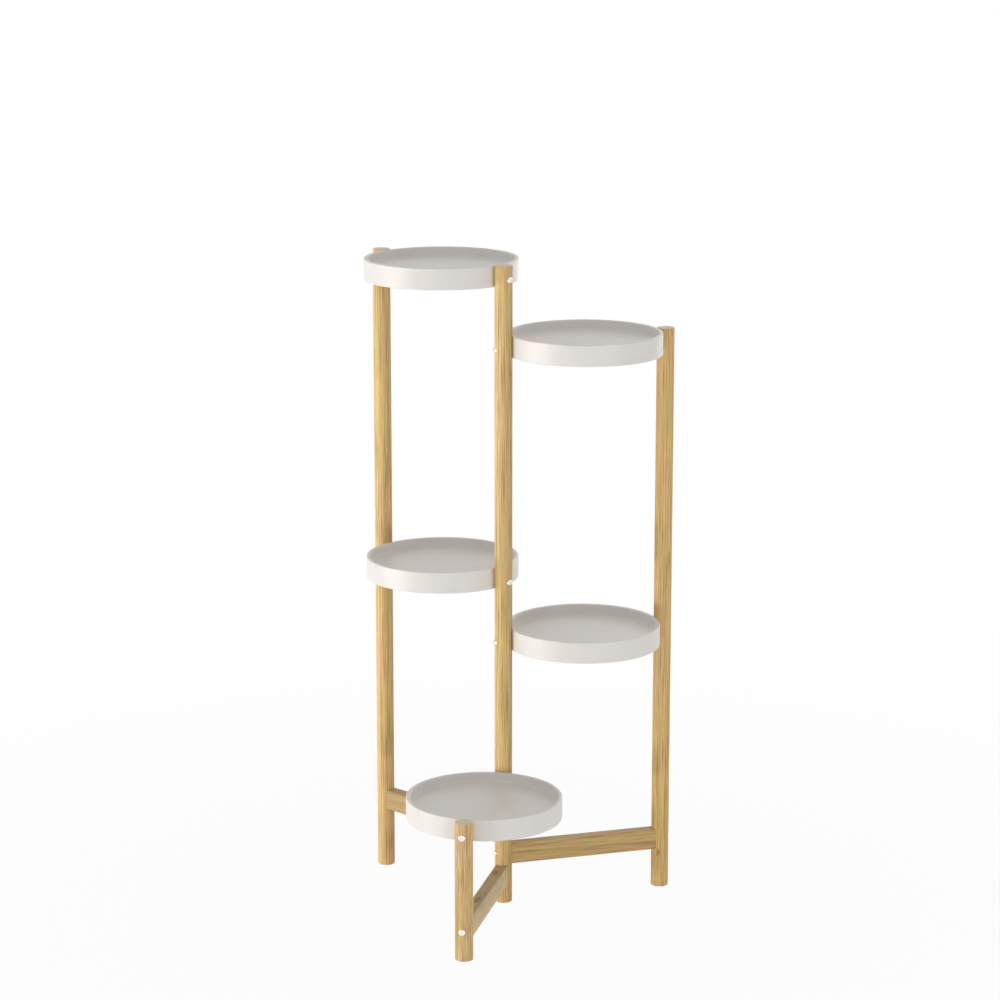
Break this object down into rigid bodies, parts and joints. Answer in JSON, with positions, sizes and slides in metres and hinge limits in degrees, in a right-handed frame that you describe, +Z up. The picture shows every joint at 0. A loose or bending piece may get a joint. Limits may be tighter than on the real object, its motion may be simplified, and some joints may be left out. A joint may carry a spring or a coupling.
{
  "type": "tiered plant stand",
  "caption": "Tiered plant stand: round wooden posts on radiating base bars carry round recessed white trays at stepped heights.",
  "frame": {"origin": "centre of the centre post's foot, on the floor", "axes": "+Z up along the centre post; the arm with the low tray points along -Y, the other two arms 120 degrees either side of it, towards +X+Y and -X+Y"},
  "size_m": [0.5968, 0.5702, 1.25],
  "materials": {
    "pine": "turned and sanded pine under clear satin lacquer",
    "tray_white": "satin, moulded",
    "bolt_nickel": "bright nickel plate",
    "zinc_steel": "bright zinc plate"
  },
  "bodies": {
    "root": {"centre_post": "pine", "left_post": "pine", "right_post": "pine", "front_post": "pine", "front_bar": "pine", "right_bar": "pine", "left_bar": "pine", "front_bar_centre_bolt": "bolt_nickel", "front_bar_centre_barrel_nut": "zinc_steel", "front_bar_outer_bolt": "bolt_nickel", "front_bar_outer_barrel_nut": "zinc_steel", "right_bar_centre_bolt": "bolt_nickel", "right_bar_centre_barrel_nut": "zinc_steel", "right_bar_outer_bolt": "bolt_nickel", "right_bar_outer_barrel_nut": "zinc_steel", "left_bar_centre_bolt": "bolt_nickel", "left_bar_centre_barrel_nut": "zinc_steel", "left_bar_outer_bolt": "bolt_nickel", "left_bar_outer_barrel_nut": "zinc_steel", "tray_top_left": "tray_white", "tray_top_left_bolt": "bolt_nickel", "tray_top_left_nut": "zinc_steel", "tray_top_left_screw": "zinc_steel", "tray_top_right": "tray_white", "tray_top_right_bolt": "bolt_nickel", "tray_top_right_nut": "zinc_steel", "tray_top_right_screw": "zinc_steel", "tray_middle_left": "tray_white", "tray_middle_left_bolt": "bolt_nickel", "tray_middle_left_nut": "zinc_steel", "tray_middle_left_screw": "zinc_steel", "tray_middle_right": "tray_white", "tray_middle_right_bolt": "bolt_nickel", "tray_middle_right_nut": "zinc_steel", "tray_middle_right_screw": "zinc_steel", "tray_front": "tray_white", "tray_front_bolt": "bolt_nickel", "tray_front_nut": "zinc_steel", "tray_front_screw": "zinc_steel"}
  },
  "joints": []
}
